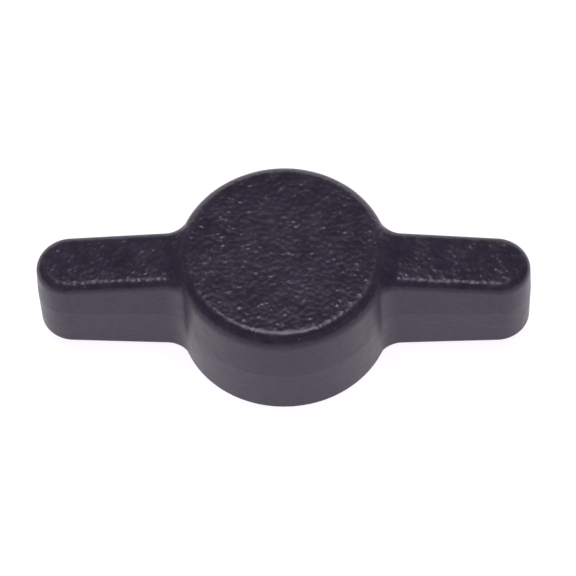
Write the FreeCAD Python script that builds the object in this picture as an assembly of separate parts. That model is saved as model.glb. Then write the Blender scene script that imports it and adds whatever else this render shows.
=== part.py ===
import FreeCAD, Part
import math
import os

# A wing nut: a moulded nylon body with two stub wings, closed at the top,
# formed over a turned and knurled brass insert whose blind thread opens underneath.
# Sizes are in millimetres. +Z is up along the thread axis and +X runs along a wing.
# The origin is on the thread axis, in the insert's seating face.

# Hub of the body
hub_diameter = 12.7          # at the parting plane
hub_height = 7.22            # underside of the hub to its top
hub_top_radius = 0.85        # rounding of the top rim
hub_bottom_radius = 0.1      # rounding of the bottom rim

# Wings of the body
wing_span = 29.1             # tip to tip, at the parting plane
wing_root_thickness = 4.08   # where the wing leaves the hub, at the parting plane
wing_tip_thickness = 4.0     # at the full-round tip, at the parting plane
wing_step = 0.55             # hub top down to the wing's top face, at the hub
wing_tip_drop = 0.75         # fall of the wing's top face from the hub to the tip
wing_root_lift = 0.05        # underside of the wing above the hub's underside, at the hub
wing_tip_lift = 0.4          # the same at the tip
wing_plan_fillet = 1.4       # blend between wing side and hub, at the parting plane
wing_top_radius = 0.55       # rounding of the wing's top edge
wing_bottom_radius = 0.3     # rounding of the wing's bottom edge
wing_overlap_angle = 50.0    # the wing's solid runs this far round inside the hub

# Mould
draft_angle = 1.5            # both ways from the parting plane
parting_height = 3.57        # parting plane above the hub's underside

# Thread, 1/4-20 UNC right hand
thread_major_diameter = 6.35
thread_height = 0.55         # crest to root, on the radius
thread_pitch = 1.27
thread_flank_angle = 30.0    # each flank, from the groove's centre line
drill_run_out = 1.15         # plain hole past the end of the thread
thread_start_angle = 90.0    # where the groove begins, from the +X axis
mouth_chamfer = 0.3          # how far the countersink stands outside the thread

# Insert
insert_proud = 0.03          # seating face below the hub's underside
insert_wall = 1.325          # brass outside the thread's major diameter
insert_end_wall = 0.7        # brass that closes the blind hole
roof_thickness = 1.2         # nylon between the insert and the hub's top
collar_height = 0.8          # smooth ring at the seating end
waist_depth = 0.6            # retention groove between the two knurled bands
waist_width = 1.1
nose_chamfer = 0.35          # at the closed end
knurl_depth = 0.22
knurl_teeth = 30

UP = FreeCAD.Vector(0, 0, 1)
ORIGIN = FreeCAD.Vector(0, 0, 0)
CUTTER_MARGIN = 1.0          # how far blanks and cutters run past the faces they make
GROOVE_OVERLAP = 0.1         # how far the groove's section reaches inside the drilled hole


def point(x, y, z=0.0):
    return FreeCAD.Vector(x, y, z)


def polar(centre, radius, angle):
    """The point at this radius and angle (radians) round a centre."""
    return centre + FreeCAD.Vector(radius * math.cos(angle), radius * math.sin(angle), 0)


def arc(centre, radius, start, end):
    """An arc edge from the start angle to the end angle, in either direction."""
    first = polar(centre, radius, start)
    middle = polar(centre, radius, (start + end) / 2)
    last = polar(centre, radius, end)
    return Part.Arc(first, middle, last).toShape()


def line(a, b):
    return Part.LineSegment(a, b).toShape()


def draft_inset(height):
    """How far a drafted side has come in at this height from the parting plane."""
    return height * math.tan(math.radians(draft_angle))


# The wing's plan: the tip's centre, the taper of the sides and the blend with the hub

hub_radius = hub_diameter / 2
tip_radius = wing_tip_thickness / 2
tip_x = wing_span / 2 - tip_radius


def side_taper():
    """Angle of a wing side from the X axis, tangent to the tip and as thick as stated at the hub."""
    reach = tip_x - hub_radius
    half_root = wing_root_thickness / 2
    lean = math.atan2(reach, half_root)
    return math.acos(tip_radius / math.hypot(reach, half_root)) - lean


def blend_centre(taper):
    """Centre of the plan fillet that touches the hub and the wing's +Y side."""
    # Distance from the +Y side's line, which touches the tip's circle.
    offset = tip_radius + wing_plan_fillet
    reach = hub_radius + wing_plan_fillet
    normal = FreeCAD.Vector(math.sin(taper), math.cos(taper), 0)
    along = FreeCAD.Vector(math.cos(taper), -math.sin(taper), 0)
    across = offset + tip_x * math.sin(taper)
    back = math.sqrt(reach ** 2 - across ** 2)
    return normal * across + along * back


def wing_outline(height):
    """Closed outline of the +X wing, inset by the draft at this height from the parting plane."""
    inset = draft_inset(height)
    level = UP * height
    taper = side_taper()
    centre = blend_centre(taper)
    mirror = point(centre.x, -centre.y)
    tip = point(tip_x, 0) + level
    hub = hub_radius - inset
    nose = tip_radius - inset
    blend = wing_plan_fillet + inset
    inner = math.radians(wing_overlap_angle)
    touch = math.atan2(centre.y, centre.x)
    side = math.pi / 2 - taper
    edges = [
        arc(level, hub, inner, touch),
        arc(centre + level, blend, touch + math.pi, side + math.pi),
        line(polar(centre + level, blend, side + math.pi), polar(tip, nose, side)),
        arc(tip, nose, side, -side),
        line(polar(tip, nose, -side), polar(mirror + level, blend, math.pi - side)),
        arc(mirror + level, blend, math.pi - side, math.pi - touch),
        arc(level, hub, -touch, -inner),
        line(polar(level, hub, -inner), polar(level, hub, inner)),
    ]
    return Part.Wire(edges)


def wing_half(root_height, tip_height, rounding):
    """One wing from the parting plane up to a sloping face whose edge is rounded."""
    top = max(root_height, tip_height) + CUTTER_MARGIN
    blank = Part.makeLoft([wing_outline(0), wing_outline(top)], True, True)
    slope = (tip_height - root_height) / (wing_span / 2 - hub_radius)
    far = wing_span
    start = root_height - slope * hub_radius
    corners = [
        point(0, -far, start),
        point(far, -far, start + slope * far),
        point(far, -far, far),
        point(0, -far, far),
    ]
    above = Part.Face(Part.makePolygon(corners + corners[:1])).extrude(point(0, 2 * far, 0))
    half = blank.cut(above)
    # The rim of the sloping face, without its straight edge inside the hub.
    rim = []
    for edge in half.Edges:
        middle = edge.CenterOfMass
        on_slope = abs(middle.z - start - slope * middle.x) < 1e-5
        inside_hub = edge.Curve.TypeId == "Part::GeomLine" and abs(middle.y) < 1e-5
        if on_slope and not inside_hub:
            rim.append(edge)
    return half.makeFillet(rounding, rim)


def hub_solid():
    """The hub as one turned shape: two drafted cones with rounded rims."""
    draft = math.radians(draft_angle)
    top = hub_radius - draft_inset(hub_height - parting_height)
    bottom = hub_radius - draft_inset(parting_height)
    half_profile = [
        point(0, 0, 0),
        point(bottom, 0, 0),
        point(hub_radius, 0, parting_height),
        point(top, 0, hub_height),
        point(0, 0, hub_height),
    ]
    profile = Part.Face(Part.makePolygon(half_profile + half_profile[:1]))
    hub = profile.revolve(ORIGIN, UP, 360)
    rims = {0.0: hub_bottom_radius, hub_height: hub_top_radius}
    for height, rounding in rims.items():
        rim = [
            edge for edge in hub.Edges
            if abs(edge.BoundBox.ZMin - height) < 1e-6
            and abs(edge.BoundBox.ZMax - height) < 1e-6
        ]
        hub = hub.makeFillet(rounding, rim)
    return hub


def wings_and_hub():
    """The body's outside as one solid, standing on the hub's underside."""
    above = hub_height - parting_height
    root_top = above - wing_step
    upper = wing_half(root_top, root_top - wing_tip_drop, wing_top_radius)
    root_depth = parting_height - wing_root_lift
    tip_depth = parting_height - wing_tip_lift
    lower = wing_half(root_depth, tip_depth, wing_bottom_radius).mirror(ORIGIN, UP)
    parts = []
    for half in (upper, lower):
        half.translate(UP * parting_height)
        other = half.copy()
        other.rotate(ORIGIN, UP, 180)
        parts += [half, other]
    outside = hub_solid().multiFuse(parts).removeSplitter()
    # Nothing reaches below the hub's underside.
    corner = point(-wing_span, -wing_span, -CUTTER_MARGIN)
    below = Part.makeBox(2 * wing_span, 2 * wing_span, CUTTER_MARGIN, corner)
    return outside.cut(below)


# The insert

thread_minor_diameter = thread_major_diameter - 2 * thread_height
thread_root_flat = thread_pitch / 8
insert_diameter = thread_major_diameter + 2 * insert_wall
insert_length = insert_proud + hub_height - roof_thickness
drill_depth = insert_length - insert_end_wall
thread_depth = drill_depth - drill_run_out


def knurled_band(start, length):
    """A band of straight V grooves round the insert."""
    outer = insert_diameter / 2
    step = math.pi / knurl_teeth
    corners = []
    for i in range(2 * knurl_teeth):
        radius = outer if i % 2 == 0 else outer - knurl_depth
        corners.append(polar(UP * start, radius, i * step))
    return Part.Face(Part.makePolygon(corners + corners[:1])).extrude(UP * length)


def insert_outside():
    """The insert with no hole: collar, two knurled bands and the waist between them."""
    outer = insert_diameter / 2
    band = (insert_length - collar_height - waist_width) / 2
    waist_start = collar_height + band
    collar = Part.makeCylinder(outer, collar_height)
    core = Part.makeCylinder(outer - waist_depth, insert_length)
    lower_band = knurled_band(collar_height, band)
    upper_band = knurled_band(waist_start + waist_width, band)
    blank = core.multiFuse([collar, lower_band, upper_band])
    # A cone turned over the closed end leaves a lead for the mould.
    nose = Part.makeCone(
        outer + insert_length - nose_chamfer,
        outer - nose_chamfer,
        insert_length,
    )
    return blank.common(nose)


def thread_groove():
    """The helical groove that the tap cuts, from below the mouth to the thread's end."""
    start = -thread_pitch
    length = thread_depth - start - thread_pitch / 2
    root = thread_major_diameter / 2
    inside = thread_minor_diameter / 2 - GROOVE_OVERLAP
    half_root = thread_root_flat / 2
    half_mouth = half_root + (root - inside) * math.tan(math.radians(thread_flank_angle))
    corners = [
        point(inside, 0, start - half_mouth),
        point(root, 0, start - half_root),
        point(root, 0, start + half_root),
        point(inside, 0, start + half_mouth),
    ]
    section = Part.makePolygon(corners + corners[:1])
    path = Part.makeHelix(thread_pitch, length, inside)
    path.translate(UP * start)
    groove = Part.Wire(path).makePipeShell([section], True, True)
    groove.rotate(ORIGIN, UP, thread_start_angle)
    return groove


def threaded_insert():
    """The brass insert with its blind drilled, countersunk and tapped hole."""
    hole = Part.makeCylinder(thread_minor_diameter / 2, drill_depth)
    mouth = thread_major_diameter / 2 + mouth_chamfer
    countersink = Part.makeCone(mouth, 0, mouth)
    return insert_outside().cut(hole).cut(countersink).cut(thread_groove())


def wing_body():
    """The nylon moulding, with a pocket that is the insert's exact outside."""
    body = wings_and_hub()
    body.translate(UP * insert_proud)
    return body.cut(insert_outside())


def main():
    os.makedirs("parts", exist_ok=True)
    nodes = {
        "wing_body": wing_body(),
        "threaded_insert": threaded_insert(),
    }
    for name, shape in nodes.items():
        solids = shape.Solids
        box = shape.BoundBox
        print(
            name, "solids", len(solids), "valid", shape.isValid(),
            "volume", round(shape.Volume, 2),
            "size", round(box.XLength, 3), round(box.YLength, 3), round(box.ZLength, 3),
        )
        solids[0].exportStep("parts/" + name + ".step")


main()
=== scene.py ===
import math

import bmesh
import bpy
import numpy as np
from mathutils import Matrix, Vector


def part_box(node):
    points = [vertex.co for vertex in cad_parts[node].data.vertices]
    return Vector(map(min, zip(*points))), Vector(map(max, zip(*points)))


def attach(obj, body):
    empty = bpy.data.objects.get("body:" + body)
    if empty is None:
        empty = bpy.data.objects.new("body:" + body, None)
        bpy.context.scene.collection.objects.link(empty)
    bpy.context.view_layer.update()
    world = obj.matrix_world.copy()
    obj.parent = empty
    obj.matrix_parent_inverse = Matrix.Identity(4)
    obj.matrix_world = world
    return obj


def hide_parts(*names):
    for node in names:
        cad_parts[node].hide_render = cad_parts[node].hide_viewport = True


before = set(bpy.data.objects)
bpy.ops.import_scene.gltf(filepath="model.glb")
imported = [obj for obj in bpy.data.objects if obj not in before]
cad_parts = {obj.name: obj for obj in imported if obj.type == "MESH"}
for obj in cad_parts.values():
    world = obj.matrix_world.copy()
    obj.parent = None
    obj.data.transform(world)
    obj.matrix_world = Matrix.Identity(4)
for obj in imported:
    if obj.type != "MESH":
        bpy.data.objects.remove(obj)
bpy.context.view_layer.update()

# A black moulded wing nut over a knurled brass insert, lying on a pale floor.
# Shape sizes below are in millimetres, in the frame's own axes: +Z up the thread, +X along a wing.

MM = 0.001
body_low, body_high = (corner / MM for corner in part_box("wing_body"))
insert_low, insert_high = (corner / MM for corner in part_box("threaded_insert"))

# Moulding
FLASH_HEIGHT = 0.0025          # the parting line's faint ridge
FLASH_WIDTH = 0.08
UNDERSIDE = body_low.z
TOP = body_high.z
HUB_RADIUS = body_high.y - FLASH_HEIGHT
HALF_SPAN = body_high.x - FLASH_HEIGHT
PARTING_HEIGHT = 3.57          # above the hub's underside
PARTING = UNDERSIDE + PARTING_HEIGHT
PARTING_SOFTNESS = 0.15        # how gently the two drafts meet at the parting plane
DRAFT_DEGREES = 1.5
DRAFT = math.radians(DRAFT_DEGREES)
HUB_TOP_RADIUS = 0.85
HUB_BOTTOM_RADIUS = 0.1
WING_ROOT_HALF = 2.02          # half the wing's thickness at the hub
WING_TIP_HALF = 1.98           # and at its round tip
WING_STEP = 0.55               # hub's top down to the wing's top, at the hub
WING_TIP_DROP = 0.75           # fall of the wing's top from the hub to the tip
WING_ROOT_LIFT = 0.05          # the wing's underside above the hub's, at the hub
WING_TIP_LIFT = 0.4            # the same at the tip
WING_ROOT_TOP = TOP - WING_STEP
WING_TIP_TOP = WING_ROOT_TOP - WING_TIP_DROP
WING_ROOT_BOTTOM = UNDERSIDE + WING_ROOT_LIFT
WING_TIP_BOTTOM = UNDERSIDE + WING_TIP_LIFT
SLOPE_START = 4.0              # the wing's top is level up to this X, inside the hub
WING_TOP_RADIUS = 0.55
TOP_EASE = 2.3                 # power of the top edges' rounding, where 2 is an arc
WING_CROWN = 0.04              # how much higher a wing's middle line is than its edges
CROWN_SHARE = 0.5              # of the crown, above the flat top's height
CROWN_END = 1.2                # the crown's fall stops here, just outside the wing
WING_BOTTOM_RADIUS = 0.3
PLAN_FILLET = 1.4
VALLEY_RADIUS = 1.4            # the concave sweep from the wing's top up to the hub's rim
BOTTOM_BLEND = 0.1             # between the undersides of hub and wing
BLEND_START = 0.05             # how far inside the wing's side that blend begins
BLEND_RISE = 0.35              # and over what distance it reaches its full size
HUB_RIM = HUB_RADIUS - math.tan(DRAFT) * (TOP - HUB_TOP_RADIUS - PARTING) - HUB_TOP_RADIUS
TIP_X = HALF_SPAN - WING_TIP_HALF

# Relief
GRAIN_RELIEF = 0.006
COARSE_WAVE = 0.7
FINE_WAVE = 0.42
COARSE_SHARE = 0.6
SHRINKAGE = 0.012
SHRINKAGE_WAVE = 3.2
SIDE_GRAIN = 0.3               # the grain's share on upright sides, where the top has 1
UNDER_LOSS = 0.15              # how much finer it is underneath than on the sides
GRAIN_TILT = 0.35              # the normal's Z from which the top's grain begins
GRAIN_TILT_RANGE = 0.4
MOUTH_HEIGHT = 0.2             # the relief fades out this near the pocket's mouth
MOUTH_REACH = 0.6
MOUTH_BARE = 0.05
MOUTH_FADE = 0.5
SOFTEST_EDGE = 0.6             # curvature, per millimetre, from which an edge begins to get painted glints

# The moulding's mesh
TIP_STATIONS = 36              # sections round a quarter of the outline, by stretch
SIDE_STATIONS = 50
FILLET_STATIONS = 28
HUB_STATIONS = 64
UPPER_RAYS = 220               # rays of a section, above and below the parting plane
LOWER_RAYS = 260
UPPER_ROWS = 74                # rows kept of a section
LOWER_ROWS = 40
UNDER_ROWS = 10                # rows across the flat underside
BISECTIONS = 30
SPINE_SHARE = 0.65             # how far the spine runs into the round tip
ROW_DENSITY = 8                # rows per millimetre, before the mesh is scaled to its rows
BEND_DENSITY = 9               # more where the section bends
FLASH_DENSITY = 40             # more across the flash
DENSITY_PASSES = 6
SIDE_KEEP = 0.75               # how far in from the outline a section is kept underneath
TIP_KEEP = 0.4                 # or the share of its reach that is left out, at the tip
HUB_MARGIN = 0.35              # sections this far outside the hub still end at the pocket
TIP_SETBACK = 0.2
SEARCH_BELOW = 0.5             # where the underside is looked for, from the hub's underside
SEARCH_ABOVE = 2.0

# Insert
INSERT_RADIUS = insert_high.x
INSERT_LENGTH = insert_high.z
COLLAR = 0.8                   # length of the smooth ring at the seating end
WAIST_DEPTH = 0.6
WAIST_WIDTH = 1.1
NOSE_CHAMFER = 0.35
KNURL_TEETH = 30
KNURL_DEPTH = 0.22
THREAD_MAJOR = 3.175           # radii
THREAD_MINOR = 2.625
THREAD_PITCH = 1.27
THREAD_END = 4.2
FLANK_DEGREES = 30
FLANK = math.tan(math.radians(FLANK_DEGREES))
ROOT_FLAT = THREAD_PITCH / 8
HOLE_DEPTH = 5.35
MOUTH_RADIUS = 3.475
TURNS = 240                    # points round the insert, eight to each knurl tooth
BORE_ROWS = 190
FACE_ROWS = 6
EDGE_BREAK = 0.04
BORE_END_RADII = (0.3, 1.2, 2.0)
NOSE_RADII = (3.0, 1.5, 0.3)
CRISP_DEGREES = 35             # edges sharper than this stay crisp

# Nylon
NYLON_DARK = (0.0085, 0.0052, 0.0185)
NYLON_WARM = (0.0310, 0.0170, 0.0270)
NYLON_COOL = (0.0210, 0.0155, 0.0430)
# pale colour of the painted glints, on the grain and along the edges
NYLON_PAINTED_GLINT = (0.085, 0.075, 0.095)
NYLON_TINT = (0.93, 0.92, 1.0, 1)
NYLON_IOR = 1.45
TOP_ROUGHNESS = 0.23
SIDE_ROUGHNESS = 0.38
# Sizes of what varies over the nylon, in metres
PATCH_SIZE = 0.0022
CLUSTER_SIZE = 0.0008
WAVE_SIZE = 0.0003
HUE_SIZE = 0.00045
SPECK_SPACING = 0.00035
BEAD_SPACING = 0.00045
BUMP_DISTANCE = 0.00002

# Brass
BRASS_CLEAN = (0.62, 0.42, 0.15, 1)
BRASS_DULL = (0.36, 0.23, 0.09, 1)
DULL_SIZE = 0.0015
SCRATCH_SIZE = 0.0002
RINGS = 90000.0                # lathe rings, in radians per metre
RING_SHARE = 0.3
BRASS_BUMP = 0.000006

# Floor, in metres
FLOOR_HALF = 1.5
FLOOR_DROP = 0.01 * MM         # below the seating face, so that the two don't coincide
FLOOR_MOTTLE = 0.03
FLOOR_DARK = (0.33, 0.33, 0.33, 1)
FLOOR_PALE = (0.37, 0.37, 0.37, 1)

# Light, in metres and watts
KEY_PLACE = (-0.01, 0.068, 0.45)
KEY_SIZE = (0.19, 0.23)
KEY_POWER = 0.8
BACKDROP_PLACE = (0.0, 0.6, 0.16)
BACKDROP_SIZE = (1.0, 0.3)
BACKDROP_POWER = 0.9
WORLD_STRENGTH = 0.38
WORLD_COLOUR = (0.98, 0.93, 1.0, 1)
FLOOR_GLOW = (0.98, 0.93, 1.02, 1)
FLOOR_GLOW_STRENGTH = 0.94

# Camera
CAMERA_DISTANCE = 312.5 * MM
ELEVATION = math.radians(57.39)
AZIMUTH = math.radians(3.51)
ROLL = math.radians(2.957)
AIM_RIGHT = 0.237 * MM         # the nut's middle sits this far left of the frame's middle
AIM_DOWN = 0.171 * MM          # and this far above it
SENSOR_WIDTH = 36.0
LENS = 331.5


# ---------------------------------------------------------------- noise

def lattice(cell, seed):
    """A repeatable random value from 0 to 1 for each integer lattice cell."""
    key = cell[..., 0] * 73856093 ^ cell[..., 1] * 19349663 ^ cell[..., 2] * 83492791
    key = (key ^ seed * 2654435761) & 0xFFFFFFFF
    key = ((key ^ key >> 15) * 2246822519) & 0xFFFFFFFF
    key = ((key ^ key >> 13) * 3266489917) & 0xFFFFFFFF
    return ((key ^ key >> 16) & 0xFFFFFF) / 0xFFFFFF


def value_noise(points, wavelength, seed):
    """Smooth noise from 0 to 1 over space, with features of about the given wavelength."""
    scaled = points / wavelength
    cell = np.floor(scaled).astype(np.int64)
    part = scaled - cell
    part = part * part * (3 - 2 * part)
    total = np.zeros(len(points))
    for dx in (0, 1):
        for dy in (0, 1):
            for dz in (0, 1):
                step = np.array([dx, dy, dz])
                weight = np.prod(np.where(step == 1, part, 1 - part), axis=1)
                total += weight * lattice(cell + step, seed)
    return total


# ---------------------------------------------------------------- the moulding's surface

def side_taper():
    """Angle of a wing's side from the X axis, tangent to the tip's circle."""
    reach = TIP_X - HUB_RADIUS
    lean = math.atan2(reach, WING_ROOT_HALF)
    return math.acos(WING_TIP_HALF / math.hypot(reach, WING_ROOT_HALF)) - lean


TAPER = side_taper()
SIDE_NORMAL = np.array([math.sin(TAPER), math.cos(TAPER)])
SIDE_OFFSET = WING_TIP_HALF + TIP_X * math.sin(TAPER)


def fillet_centre():
    """Centre of the plan fillet between the hub and a wing's side, in the +X +Y quarter."""
    across = SIDE_OFFSET + PLAN_FILLET
    back = math.sqrt((HUB_RADIUS + PLAN_FILLET) ** 2 - across ** 2)
    along = np.array([math.cos(TAPER), -math.sin(TAPER)])
    return SIDE_NORMAL * across + along * back


FILLET = fillet_centre()
TOUCH_ANGLE = math.atan2(FILLET[1], FILLET[0])


def plan_distance(x, y):
    """Distance outside the whole nut's plan outline at the parting plane."""
    x, y = np.abs(x), np.abs(y)
    hub = np.hypot(x, y) - HUB_RADIUS
    side = x * SIDE_NORMAL[0] + y * SIDE_NORMAL[1] - SIDE_OFFSET
    tip = np.hypot(x - TIP_X, y) - WING_TIP_HALF
    beyond = (x - TIP_X) * math.cos(TAPER) - y * math.sin(TAPER) > 0
    wing = np.where(beyond, tip, side)
    vx, vy = x - FILLET[0], y - FILLET[1]
    to_hub = -FILLET / np.hypot(*FILLET)
    to_side = -SIDE_NORMAL
    in_corner = (to_hub[0] * vy - to_hub[1] * vx > 0) & (vx * to_side[1] - vy * to_side[0] > 0)
    return np.where(in_corner, PLAN_FILLET - np.hypot(vx, vy), np.minimum(hub, wing))


def rounded_edge(a, b, radius, power=2.0):
    """The solid inside both a and b, with its edge rounded; a higher power eases in more slowly."""
    # The reach grows with the power, so that the corner is cut back by as much as an arc would.
    reach = radius * (math.sqrt(2) - 1) / (math.sqrt(2) * (1 - 2 ** (-1 / power)))
    u = np.maximum(a + reach, 0)
    v = np.maximum(b + reach, 0)
    return np.minimum(np.maximum(a, b), -reach) + (u ** power + v ** power) ** (1 / power)


def soft_union(a, b, reach):
    """The nearer of a and b, blended where the two are within reach of each other."""
    reach = np.maximum(reach, 1e-6)
    close = np.maximum(reach - np.abs(a - b), 0) / reach
    return np.minimum(a, b) - close * close * reach / 4


def swept_top(x, y, flat):
    """Height of the wing's top where it sweeps up into the hub's rim, and the cosine of its slope."""
    out = np.hypot(x, y) - HUB_RIM
    both = HUB_TOP_RADIUS + VALLEY_RADIUS
    sine = np.sqrt(1 - (1 - (TOP - flat) / both) ** 2)
    over_rim = np.clip(out, 0, HUB_TOP_RADIUS * sine)
    rim = np.sqrt(HUB_TOP_RADIUS ** 2 - over_rim ** 2)
    short = np.clip(both * sine - out, 0, VALLEY_RADIUS * sine)
    valley = np.sqrt(VALLEY_RADIUS ** 2 - short ** 2)
    on_rim = out < HUB_TOP_RADIUS * sine
    height = np.where(on_rim, TOP - HUB_TOP_RADIUS + rim, flat + VALLEY_RADIUS - valley)
    return height, np.where(on_rim, rim / HUB_TOP_RADIUS, valley / VALLEY_RADIUS)


def moulding(points):
    """Distance outside the nylon body, with no pocket for the insert."""
    x, y, z = points[:, 0], points[:, 1], points[:, 2]
    from_parting = np.hypot(z - PARTING, PARTING_SOFTNESS) - PARTING_SOFTNESS
    inset = math.tan(DRAFT) * from_parting
    flash = FLASH_HEIGHT * np.exp(-((z - PARTING) / FLASH_WIDTH) ** 2)
    outline = plan_distance(x, y)
    blade_side = (outline + inset) * math.cos(DRAFT) - flash
    hub_side = (np.hypot(x, y) - HUB_RADIUS + inset) * math.cos(DRAFT) - flash
    hub = rounded_edge(hub_side, z - TOP, HUB_TOP_RADIUS, TOP_EASE)
    hub = rounded_edge(hub, UNDERSIDE - z, HUB_BOTTOM_RADIUS)
    reach = HALF_SPAN - HUB_RADIUS
    along = (np.maximum(np.abs(x), SLOPE_START) - HUB_RADIUS) / reach
    top = WING_ROOT_TOP + (WING_TIP_TOP - WING_ROOT_TOP) * along
    bottom = WING_ROOT_BOTTOM + (WING_TIP_BOTTOM - WING_ROOT_BOTTOM) * np.maximum(along, 0)
    top = top + WING_CROWN * (CROWN_SHARE - np.minimum((y / WING_TIP_HALF) ** 2, CROWN_END))
    top, flatness = swept_top(x, y, top)
    blade = rounded_edge(blade_side, (z - top) * flatness, WING_TOP_RADIUS, TOP_EASE)
    blade = rounded_edge(blade, bottom - z, WING_BOTTOM_RADIUS)
    # The sides of hub and blade are one surface, so only the undersides, well inside them, are blended.
    inside = np.clip((-blade_side - BLEND_START) / BLEND_RISE, 0, 1)
    return soft_union(hub, blade, np.where(z > PARTING, 0, BOTTOM_BLEND) * inside)


def normals(points, step=0.002):
    """Outward normals of the moulding's surface."""
    grad = np.empty_like(points)
    for axis in range(3):
        shift = np.zeros(3)
        shift[axis] = step
        grad[:, axis] = moulding(points + shift) - moulding(points - shift)
    return grad / np.linalg.norm(grad, axis=1, keepdims=True)


# ---------------------------------------------------------------- the moulding's mesh

def stations():
    """Outline points from the +X tip round by +Y to the -X tip, and each one's spine point."""
    quarter = []
    # The tip's quarter circle, then the side, the plan fillet and the hub, up to the Y axis.
    for angle in np.linspace(0, math.pi / 2 - TAPER, TIP_STATIONS)[:-1]:
        across, out = WING_TIP_HALF * math.cos(angle), WING_TIP_HALF * math.sin(angle)
        quarter.append((TIP_X + across, out))
    side_start = np.array([TIP_X, 0]) + WING_TIP_HALF * SIDE_NORMAL
    side_end = FILLET - PLAN_FILLET * SIDE_NORMAL
    for t in np.linspace(0, 1, SIDE_STATIONS)[:-1]:
        quarter.append(tuple(side_start + (side_end - side_start) * t))
    start = math.atan2(-SIDE_NORMAL[1], -SIDE_NORMAL[0])
    end = TOUCH_ANGLE - math.pi
    for angle in np.linspace(start, end, FILLET_STATIONS)[:-1]:
        across, out = PLAN_FILLET * math.cos(angle), PLAN_FILLET * math.sin(angle)
        quarter.append((FILLET[0] + across, FILLET[1] + out))
    for angle in np.linspace(TOUCH_ANGLE, math.pi / 2, HUB_STATIONS):
        quarter.append((HUB_RADIUS * math.cos(angle), HUB_RADIUS * math.sin(angle)))
    quarter = np.array(quarter)
    other = quarter[-2::-1] * [-1, 1]
    outline = np.vstack([quarter, other])
    spine = outline[:, 0].copy()
    past = np.abs(spine) > TIP_X
    spine[past] = np.sign(spine[past]) * (TIP_X + SPINE_SHARE * (np.abs(spine[past]) - TIP_X))
    return outline, spine


def section_points(outline, spine, angles):
    """Where rays at these angles, from each spine point at the parting plane, leave the moulding."""
    towards = outline - np.stack([spine, np.zeros(len(spine))], axis=1)
    towards /= np.linalg.norm(towards, axis=1, keepdims=True)
    direction = np.empty((len(spine), len(angles), 3))
    direction[..., 0] = towards[:, 0:1] * np.cos(angles)
    direction[..., 1] = towards[:, 1:2] * np.cos(angles)
    direction[..., 2] = np.sin(angles)
    centre = np.zeros((len(spine), 1, 3))
    centre[:, 0, 0] = spine
    centre[:, 0, 2] = PARTING
    near = np.zeros(direction.shape[:2])
    far = np.full(direction.shape[:2], 2 * HALF_SPAN)
    for _ in range(BISECTIONS):
        middle = (near + far) / 2
        points = centre + direction * middle[..., None]
        out = moulding(points.reshape(-1, 3)).reshape(middle.shape) > 0
        far = np.where(out, middle, far)
        near = np.where(out, near, middle)
    return centre + direction * near[..., None]


def spread_rows(sections, rows):
    """Resamples each section curve to the same number of rows, closer together where it bends."""
    step = np.diff(sections, axis=1)
    length = np.linalg.norm(step, axis=2)
    slope = np.unwrap(np.arctan2(step[..., 2], np.hypot(step[..., 0], step[..., 1])), axis=1)
    turn = np.abs(np.gradient(slope, axis=1)) / np.maximum(length, 1e-6)
    height = (sections[:, 1:, 2] + sections[:, :-1, 2]) / 2 - PARTING
    density = ROW_DENSITY + BEND_DENSITY * np.minimum(turn, 1.0)
    density = density + FLASH_DENSITY * np.exp(-(height / (2 * FLASH_WIDTH)) ** 2)
    # The density is evened out along each curve so that rows don't bunch.
    for _ in range(DENSITY_PASSES):
        density[:, 1:-1] = (density[:, :-2] + 2 * density[:, 1:-1] + density[:, 2:]) / 4
    start = np.zeros((len(sections), 1))
    total = np.concatenate([start, np.cumsum(density * length, axis=1)], axis=1)
    spread = np.empty((len(sections), rows, 3))
    for i, curve in enumerate(sections):
        wanted = np.linspace(0, total[i, -1], rows)
        for axis in range(3):
            spread[i, :, axis] = np.interp(wanted, total[i], curve[:, axis])
    return spread


def settle(points, passes=4):
    """Moves points along the surface's normal onto it."""
    flat = points.reshape(-1, 3)
    for _ in range(passes):
        flat = flat - normals(flat) * moulding(flat)[:, None]
    return flat.reshape(points.shape)


def pocket_profile():
    """Radius, height and whether it is knurled, along the insert's outside from the seating end."""
    band = (INSERT_LENGTH - COLLAR - WAIST_WIDTH) / 2
    waist_start = COLLAR + band
    waist = INSERT_RADIUS - WAIST_DEPTH
    return [
        (INSERT_RADIUS, UNDERSIDE, 0),
        (INSERT_RADIUS, COLLAR, 0),
        (INSERT_RADIUS, COLLAR, 1),
        (INSERT_RADIUS, waist_start, 1),
        (waist, waist_start, 0),
        (waist, waist_start + WAIST_WIDTH, 0),
        (INSERT_RADIUS, waist_start + WAIST_WIDTH, 1),
        (INSERT_RADIUS, INSERT_LENGTH - NOSE_CHAMFER, 1),
        (INSERT_RADIUS - NOSE_CHAMFER, INSERT_LENGTH, 0),
    ]


def knurl(angle):
    """Depth of the insert's V grooves at this angle, from 0 to the knurl's depth."""
    phase = (angle * KNURL_TEETH / (2 * math.pi)) % 1
    return KNURL_DEPTH * (1 - np.abs(2 * phase - 1))


def grid_mesh(name, loops):
    """A mesh from a list of closed loops of points, all the same length, in millimetres."""
    loops = np.array(loops)
    rows, columns = loops.shape[:2]
    vertices = loops.reshape(-1, 3) * MM
    row = np.arange(rows - 1)[:, None] * columns
    column = np.arange(columns)[None, :]
    following = (column + 1) % columns
    corners = [row + column, row + following, row + columns + following, row + columns + column]
    faces = np.stack([c + np.zeros_like(row + column) for c in corners], axis=-1).reshape(-1, 4)
    mesh = bpy.data.meshes.new(name)
    mesh.from_pydata(vertices.tolist(), [], faces.tolist())
    return mesh


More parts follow.
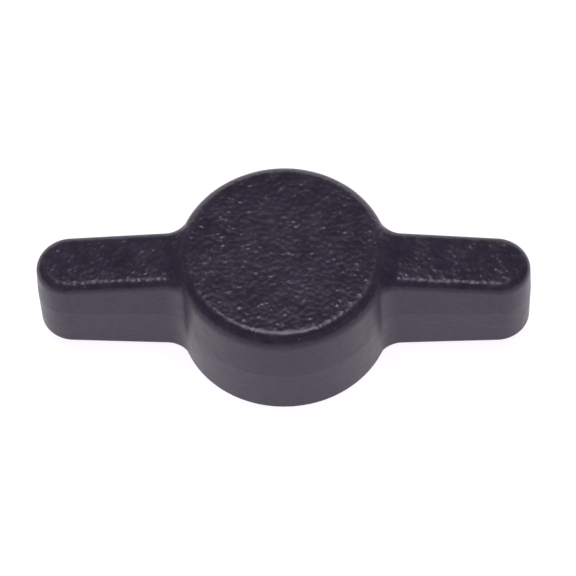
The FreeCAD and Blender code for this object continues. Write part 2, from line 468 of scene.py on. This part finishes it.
def welded(mesh, distance=1e-7):
    """Merges coincident vertices, closes the last loop and turns all normals outwards."""
    work = bmesh.new()
    work.from_mesh(mesh)
    bmesh.ops.remove_doubles(work, verts=work.verts, dist=distance)
    bmesh.ops.dissolve_degenerate(work, edges=work.edges, dist=distance / 10)
    open_edges = [edge for edge in work.edges if edge.is_boundary]
    if open_edges:
        bmesh.ops.holes_fill(work, edges=open_edges)
    bmesh.ops.recalc_face_normals(work, faces=work.faces)
    for face in work.faces:
        face.smooth = True
    work.to_mesh(mesh)
    work.free()
    return mesh


def grain_share(normal):
    """How coarse the mould's grain is: full on top, finer on the sides, least underneath."""
    up = np.clip((normal[:, 2] - GRAIN_TILT) / GRAIN_TILT_RANGE, 0, 1)
    down = np.clip((-normal[:, 2] - GRAIN_TILT) / GRAIN_TILT_RANGE, 0, 1)
    return SIDE_GRAIN + (1 - SIDE_GRAIN) * up * up * (3 - 2 * up) - UNDER_LOSS * down


def curvature(points, step=0.15):
    """How sharply the surface bends, per millimetre: above 0 on edges, below 0 in corners."""
    bend = -6 * moulding(points)
    for axis in range(3):
        for side in (-step, step):
            shift = np.zeros(3)
            shift[axis] = side
            bend += moulding(points + shift)
    return bend / step ** 2


def trimmed_sections(lower, outline, spine):
    """The lower sections as far as the flat underside, where they turn in towards the axis."""
    inward = np.stack([spine, np.zeros(len(spine))], axis=1)[:, None, :]
    depth = np.linalg.norm(lower[..., :2] - inward, axis=2)
    reach = np.linalg.norm(outline - inward[:, 0], axis=1)
    # At the tip, where the spine is near, they stop well short of the spine's own line.
    keep = depth > np.maximum(reach - SIDE_KEEP, TIP_KEEP * reach)[:, None]
    trimmed = lower.copy()
    for i in range(len(spine)):
        last = np.nonzero(keep[i])[0].max()
        trimmed[i, last:] = lower[i, last]
    return trimmed


def underside_goals(outline):
    """Where each section ends underneath: on the pocket's mouth for the hub, on the spine for a wing."""
    hub_from = HUB_RADIUS + HUB_MARGIN
    over_hub = np.abs(outline[:, 0]) < hub_from
    turn = np.arccos(np.clip(outline[:, 0] / hub_from, -1, 1))
    goal = np.zeros((len(outline), 2))
    goal[over_hub, 0] = INSERT_RADIUS * np.cos(turn[over_hub])
    goal[over_hub, 1] = INSERT_RADIUS * np.sin(turn[over_hub])
    wing = ~over_hub
    outer = np.abs(outline[wing, 0])
    # Round the tip the goals are spread by angle, so that none fall together.
    tip_turn = np.arccos(np.clip((outer - TIP_X) / WING_TIP_HALF, 0, 1))
    straight = np.interp(outer, [hub_from, TIP_X], [INSERT_RADIUS, TIP_X - TIP_SETBACK])
    round_tip = (TIP_SETBACK + SPINE_SHARE * WING_TIP_HALF) * (1 - tip_turn / (math.pi / 2))
    goal[wing, 0] = np.sign(outline[wing, 0]) * (straight + round_tip)
    return goal


def underside_rows(start, goal):
    """Rows of points on the underside, from each section's last point to its goal."""
    under = np.empty((len(start), UNDER_ROWS, 3))
    for j in range(UNDER_ROWS):
        t = (j + 1) / UNDER_ROWS
        under[:, j, :2] = start[:, :2] * (1 - t) + goal * t
    low = np.full(under.shape[:2], UNDERSIDE - SEARCH_BELOW)
    high = np.full(under.shape[:2], UNDERSIDE + SEARCH_ABOVE)
    for _ in range(BISECTIONS):
        middle = (low + high) / 2
        under[..., 2] = middle
        out = moulding(under.reshape(-1, 3)).reshape(middle.shape) > 0
        low = np.where(out, middle, low)
        high = np.where(out, high, middle)
    return under


def body_mesh():
    """Closed loops of points over the whole moulding, from its top's spine to the pocket's mouth."""
    outline, spine = stations()
    upper = section_points(outline, spine, np.linspace(0, math.pi / 2, UPPER_RAYS))
    lower = section_points(outline, spine, np.linspace(0, -math.pi / 2, LOWER_RAYS))
    upper = settle(spread_rows(upper, UPPER_ROWS))
    lower = settle(spread_rows(trimmed_sections(lower, outline, spine), LOWER_ROWS))
    under = underside_rows(lower[:, -1], underside_goals(outline))
    # One long column per station, from the top's spine down the side and in underneath.
    columns = np.concatenate([upper[:, ::-1], lower[:, 1:], under], axis=1)
    mirrored = columns[-2:0:-1] * [1, -1, 1]
    ring = np.concatenate([columns, mirrored], axis=0)
    return list(np.transpose(ring, (1, 0, 2)))


def add_pocket(loops):
    """Continues the mouth's loop up the pocket that the insert fills, and closes it."""
    mouth = loops[-1]
    angle = np.arctan2(mouth[:, 1], mouth[:, 0])
    on_mouth = np.abs(np.hypot(mouth[:, 0], mouth[:, 1]) - INSERT_RADIUS) < 1e-6
    for radius, height, knurled in pocket_profile():
        r = radius - knurled * knurl(angle)
        loop = mouth.copy()
        loop[on_mouth, 0] = (r * np.cos(angle))[on_mouth]
        loop[on_mouth, 1] = (r * np.sin(angle))[on_mouth]
        loop[on_mouth, 2] = height
        loops.append(loop)
    return loops


def relief(points, normal):
    """How far the surface lies inside the smooth moulding, from grain and slow shrinkage."""
    coarse = value_noise(points, COARSE_WAVE, 11) * COARSE_SHARE
    grain = coarse + value_noise(points, FINE_WAVE, 12) * (1 - COARSE_SHARE)
    slow = value_noise(points, SHRINKAGE_WAVE, 13)
    return GRAIN_RELIEF * grain_share(normal) * grain + SHRINKAGE * slow


def nylon_moulding():
    """The visible body: one closed mesh with its flash line, grain relief and insert pocket."""
    loops = body_mesh()
    outside = np.array(loops).reshape(-1, 3)
    normal = normals(outside)
    sunk = relief(outside, normal)[:, None]
    # The relief dies out at the pocket's mouth so that plastic and brass still meet.
    mouth = np.hypot(outside[:, 0], outside[:, 1])
    near_mouth = (outside[:, 2] < UNDERSIDE + MOUTH_HEIGHT) & (mouth < INSERT_RADIUS + MOUTH_REACH)
    fade = (mouth[near_mouth, None] - INSERT_RADIUS - MOUTH_BARE) / MOUTH_FADE
    sunk[near_mouth] *= np.clip(fade, 0, 1)
    moved = outside - normal * sunk
    moved = moved.reshape(len(loops), -1, 3)
    # Spine points belong to both sides, so they keep Y at 0.
    on_spine = np.abs(np.array(loops)[..., 1]) < 1e-9
    moved[..., 1][on_spine] = 0.0
    mesh = grid_mesh("nylon_moulding", add_pocket(list(moved)))
    welded(mesh)
    body = bpy.data.objects.new("nylon_moulding", mesh)
    bpy.context.scene.collection.objects.link(body)
    mark_surface(body)
    return body


def mark_surface(body):
    """Stores on the mesh how coarse the grain is and where the edges get painted glints, for the
    material.
    """
    mesh = body.data
    count = len(mesh.vertices)
    points = np.empty(count * 3)
    mesh.vertices.foreach_get("co", points)
    points = points.reshape(-1, 3) / MM
    normal = np.empty(count * 3, np.float32)
    mesh.vertex_normals.foreach_get("vector", normal)
    shares = {
        "grain": grain_share(normal.reshape(-1, 3)),
        # The edge share places the painted highlights along the edges.
        "edge": np.clip(curvature(points) / SOFTEST_EDGE - 1, 0, 1),
    }
    for name, share in shares.items():
        layer = mesh.attributes.new(name, "FLOAT", "POINT")
        layer.data.foreach_set("value", share.astype(np.float32))


# ---------------------------------------------------------------- the insert's mesh

def bore_radius(angle, height):
    """Radius of the countersunk, drilled and tapped hole."""
    centre = THREAD_PITCH * angle / (2 * math.pi)
    offset = (height - centre + THREAD_PITCH / 2) % THREAD_PITCH - THREAD_PITCH / 2
    groove_height = height - offset
    # The tap's lead leaves the last turn shallower and shallower.
    lead = np.clip((THREAD_END - groove_height) / THREAD_PITCH, 0, 1)
    root = THREAD_MINOR + (THREAD_MAJOR - THREAD_MINOR) * lead
    cut = root - np.maximum(np.abs(offset) - ROOT_FLAT / 2, 0) / FLANK
    return np.maximum(np.maximum(cut, THREAD_MINOR), MOUTH_RADIUS - height)


def brass_insert():
    """The insert: turned collar, knurled bands and waist outside, countersunk thread inside."""
    angle = np.arange(TURNS) * 2 * math.pi / TURNS
    circle = np.stack([np.cos(angle), np.sin(angle)], axis=1)

    def loop(radius, height):
        points = np.empty((TURNS, 3))
        points[:, :2] = circle * np.broadcast_to(np.atleast_1d(radius)[:, None], (TURNS, 1))
        points[:, 2] = height
        return points

    loops = [loop(r, HOLE_DEPTH) for r in BORE_END_RADII]
    for height in np.linspace(HOLE_DEPTH, 0, BORE_ROWS):
        loops.append(loop(bore_radius(angle, height), height))
    # The seating face, with its outer corner broken.
    for radius in np.linspace(MOUTH_RADIUS + EDGE_BREAK, INSERT_RADIUS - EDGE_BREAK, FACE_ROWS):
        loops.append(loop(radius, 0.0))
    loops.append(loop(INSERT_RADIUS, EDGE_BREAK))
    for radius, height, knurled in pocket_profile()[1:]:
        loops.append(loop(radius - knurled * knurl(angle), height))
    for radius in NOSE_RADII:
        loops.append(loop(radius, INSERT_LENGTH))
    mesh = welded(grid_mesh("brass_insert", loops))
    insert = bpy.data.objects.new("brass_insert", mesh)
    bpy.context.scene.collection.objects.link(insert)
    crisp_edges(insert, CRISP_DEGREES)
    return insert


def crisp_edges(piece, degrees):
    """Keeps edges sharper than this angle crisp in shading."""
    mesh = piece.data
    work = bmesh.new()
    work.from_mesh(mesh)
    for edge in work.edges:
        edge.smooth = edge.calc_face_angle(0.0) < math.radians(degrees)
    work.to_mesh(mesh)
    work.free()


# ---------------------------------------------------------------- materials

class Nodes:
    """A short way to write a material's nodes."""

    def __init__(self, name):
        self.material = bpy.data.materials.new(name)
        self.material.use_nodes = True
        self.tree = self.material.node_tree
        self.shader = self.tree.nodes["Principled BSDF"]

    def add(self, kind, settings=None, **inputs):
        """A node of this kind; inputs are values or other nodes' outputs."""
        node = self.tree.nodes.new(kind)
        for key, value in (settings or {}).items():
            setattr(node, key, value)
        for key, value in inputs.items():
            self.join(value, node.inputs[key.replace("_", " ")])
        return node

    def join(self, value, socket):
        """Links an output to a socket, or sets the socket to a number or colour."""
        if isinstance(value, bpy.types.NodeSocket):
            self.tree.links.new(value, socket)
        else:
            socket.default_value = value

    def position(self):
        """Where the shaded point is, in the object's own metres."""
        return self.add("ShaderNodeTexCoord").outputs["Object"]

    def noise(self, size, detail=2.0, roughness=0.5):
        """Noise from 0 to 1 with features of this size in metres."""
        return self.add(
            "ShaderNodeTexNoise",
            Vector=self.position(),
            Scale=1 / size,
            Detail=detail,
            Roughness=roughness,
        ).outputs["Fac"]

    def beads(self, spacing):
        """Round-topped beads this far apart in metres, from 0 between them to 1 at their tops."""
        cells = self.add("ShaderNodeTexVoronoi", Vector=self.position(), Scale=1 / spacing)
        return self.remap(cells.outputs["Distance"], 0.0, 0.5, 1.0, 0.0, "SMOOTHSTEP")

    def remap(self, value, low, high, new_low, new_high, way="LINEAR"):
        """Takes low to high over to new_low to new_high, and clamps what lies outside."""
        node = self.add("ShaderNodeMapRange", {"interpolation_type": way}, Value=value)
        numbers = {"From Min": low, "From Max": high, "To Min": new_low, "To Max": new_high}
        for key, number in numbers.items():
            node.inputs[key].default_value = number
        return node.outputs["Result"]

    def math(self, operation, a, b=0.0):
        """A sum, product or other operation on one or two values."""
        node = self.add("ShaderNodeMath", {"operation": operation})
        self.join(a, node.inputs[0])
        self.join(b, node.inputs[1])
        return node.outputs[0]

    def mix(self, share, a, b):
        """Colour a where the share is 0, and colour b where it is 1."""
        node = self.add("ShaderNodeMix", {"data_type": "RGBA"})
        self.join(share, node.inputs["Factor"])
        self.join(a, node.inputs["A"])
        self.join(b, node.inputs["B"])
        return node.outputs["Result"]


def nylon():
    """Black moulded nylon: spark-eroded grain on top, finer on the sides, with pale specks that are
    painted glints.
    """
    n = Nodes("black_nylon")
    grain = n.add("ShaderNodeAttribute", {"attribute_name": "grain"}).outputs["Fac"]
    edge = n.add("ShaderNodeAttribute", {"attribute_name": "edge"}).outputs["Fac"]
    patches = n.noise(PATCH_SIZE, 3.0)
    clusters = n.noise(CLUSTER_SIZE, 2.0)
    waves = n.noise(WAVE_SIZE, 0.0)
    # Base colour: mottled between dark and light, with the light part warm or cool by turns.
    tone = n.math("ADD", n.remap(patches, 0.35, 0.65, 0, 0.35), n.remap(clusters, 0.35, 0.65, 0, 0.3))
    tone = n.math("ADD", tone, n.remap(waves, 0.35, 0.65, 0, 0.35))
    hue = n.remap(n.noise(HUE_SIZE, 2.0), 0.4, 0.6, 0, 1)
    light = n.mix(hue, (*NYLON_WARM, 1), (*NYLON_COOL, 1))
    base = n.mix(tone, (*NYLON_DARK, 1), light)
    # Painted glints: pale specks where the grain's clusters are, and painted highlights along the edges.
    sparse = n.remap(clusters, 0.42, 0.62, 0.0, 1.0)
    # Painted highlight: a mask of pale specks along the sharply curved edges.
    edge_glint = n.math("MULTIPLY", edge, n.remap(clusters, 0.3, 0.6, 0.3, 1.0))
    dots = n.remap(n.beads(SPECK_SPACING), 0.6, 0.95, 0, 1)
    pale = n.math("MULTIPLY", dots, n.math("MULTIPLY", n.math("MAXIMUM", sparse, edge_glint), grain))
    # A faint painted highlight along every edge, under the specks.
    pale = n.math("MAXIMUM", pale, n.math("MULTIPLY", edge_glint, 0.12))
    n.join(n.mix(pale, base, (*NYLON_PAINTED_GLINT, 1)), n.shader.inputs["Base Color"])
    uneven = n.remap(clusters, 0.3, 0.7, -0.04, 0.04)
    rough = n.math("ADD", n.remap(patches, 0.3, 0.7, -0.03, 0.03), uneven)
    base_rough = n.remap(grain, 0.3, 1.0, SIDE_ROUGHNESS, TOP_ROUGHNESS)
    # The same edge mask also makes the edges a little rougher.
    rough = n.math("ADD", rough, n.math("MULTIPLY", edge_glint, 0.05))
    n.join(n.math("ADD", base_rough, rough), n.shader.inputs["Roughness"])
    beads = n.math("MULTIPLY", n.beads(BEAD_SPACING), sparse)
    height = n.math("MULTIPLY", n.math("ADD", beads, waves), grain)
    bump = n.add("ShaderNodeBump", Height=height, Strength=1.0, Distance=BUMP_DISTANCE)
    n.join(bump.outputs["Normal"], n.shader.inputs["Normal"])
    n.shader.inputs["IOR"].default_value = NYLON_IOR
    n.shader.inputs["Specular Tint"].default_value = NYLON_TINT
    return n.material


def brass():
    """Turned brass, dulled, with fine lathe rings and darker patches."""
    n = Nodes("turned_brass")
    patches = n.noise(DULL_SIZE, 4.0, 0.6)
    fine = n.noise(SCRATCH_SIZE, 2.0)
    colour = n.mix(n.remap(patches, 0.35, 0.7, 0, 1), BRASS_CLEAN, BRASS_DULL)
    n.join(colour, n.shader.inputs["Base Color"])
    n.join(n.remap(patches, 0.3, 0.7, 0.24, 0.42), n.shader.inputs["Roughness"])
    n.shader.inputs["Metallic"].default_value = 1.0
    place = n.add("ShaderNodeSeparateXYZ", Vector=n.position())
    across = n.math("POWER", place.outputs["X"], 2.0)
    down = n.math("POWER", place.outputs["Y"], 2.0)
    radius = n.math("SQRT", n.math("ADD", across, down))
    along = n.math("ADD", radius, place.outputs["Z"])
    rings = n.math("SINE", n.math("MULTIPLY", along, RINGS))
    height = n.math("ADD", n.math("MULTIPLY", rings, RING_SHARE), fine)
    bump = n.add("ShaderNodeBump", Height=height, Strength=0.5, Distance=BRASS_BUMP)
    n.join(bump.outputs["Normal"], n.shader.inputs["Normal"])
    return n.material


def lit_floor():
    """The pale floor, a white diffuser that is also lit a little from below."""
    n = Nodes("pale_floor")
    tone = n.remap(n.noise(FLOOR_MOTTLE, 2.0), 0.3, 0.7, 0.0, 1.0)
    n.join(n.mix(tone, FLOOR_DARK, FLOOR_PALE), n.shader.inputs["Base Color"])
    n.shader.inputs["Roughness"].default_value = 0.9
    n.shader.inputs["Specular IOR Level"].default_value = 0.2
    n.shader.inputs["Emission Color"].default_value = FLOOR_GLOW
    n.shader.inputs["Emission Strength"].default_value = FLOOR_GLOW_STRENGTH
    return n.material


# ---------------------------------------------------------------- the scene

def floor():
    """The square of floor that the nut lies on."""
    mesh = bpy.data.meshes.new("floor")
    signs = [(-1, -1), (1, -1), (1, 1), (-1, 1)]
    corners = [(FLOOR_HALF * x, FLOOR_HALF * y, -FLOOR_DROP) for x, y in signs]
    mesh.from_pydata(corners, [], [(0, 1, 2, 3)])
    plane = bpy.data.objects.new("floor", mesh)
    bpy.context.scene.collection.objects.link(plane)
    mesh.materials.append(lit_floor())


def area_light(name, place, size, power):
    """A white rectangular light that faces the nut."""
    light = bpy.data.lights.new(name, "AREA")
    light.shape = "RECTANGLE"
    light.size, light.size_y = size
    light.energy = power
    lamp = bpy.data.objects.new(name, light)
    lamp.location = place
    lamp.rotation_euler = (-Vector(place)).to_track_quat("-Z", "Y").to_euler()
    bpy.context.scene.collection.objects.link(lamp)


def lights():
    """An even pale surround, a soft light overhead and a pale panel behind."""
    world = bpy.data.worlds.new("studio")
    bpy.context.scene.world = world
    world.use_nodes = True
    background = world.node_tree.nodes["Background"]
    background.inputs["Color"].default_value = WORLD_COLOUR
    background.inputs["Strength"].default_value = WORLD_STRENGTH
    area_light("overhead", KEY_PLACE, KEY_SIZE, KEY_POWER)
    area_light("backdrop", BACKDROP_PLACE, BACKDROP_SIZE, BACKDROP_POWER)


def camera():
    """A long lens from in front and above, turned a little about its own axis."""
    back = Vector((
        math.sin(AZIMUTH) * math.cos(ELEVATION),
        -math.cos(AZIMUTH) * math.cos(ELEVATION),
        math.sin(ELEVATION),
    ))
    level_right = Vector((math.cos(AZIMUTH), math.sin(AZIMUTH), 0))
    level_up = back.cross(level_right)
    right = level_right * math.cos(ROLL) - level_up * math.sin(ROLL)
    up = level_right * math.sin(ROLL) + level_up * math.cos(ROLL)
    aim = Vector((0, 0, TOP / 2 * MM)) + right * AIM_RIGHT - up * AIM_DOWN
    data = bpy.data.cameras.new("camera")
    data.sensor_width = SENSOR_WIDTH
    data.lens = LENS
    data.clip_start = 0.01
    data.clip_end = 10.0
    eye = bpy.data.objects.new("camera", data)
    turn = Matrix((right, up, back)).transposed().to_4x4()
    eye.matrix_world = Matrix.Translation(aim + back * CAMERA_DISTANCE) @ turn
    bpy.context.scene.collection.objects.link(eye)
    bpy.context.scene.camera = eye
    bpy.context.scene.view_settings.view_transform = "Standard"


body = nylon_moulding()
body.data.materials.append(nylon())
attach(body, "root")
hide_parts("wing_body")

insert = brass_insert()
insert.data.materials.append(brass())
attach(insert, "root")
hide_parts("threaded_insert")

floor()
lights()
camera()
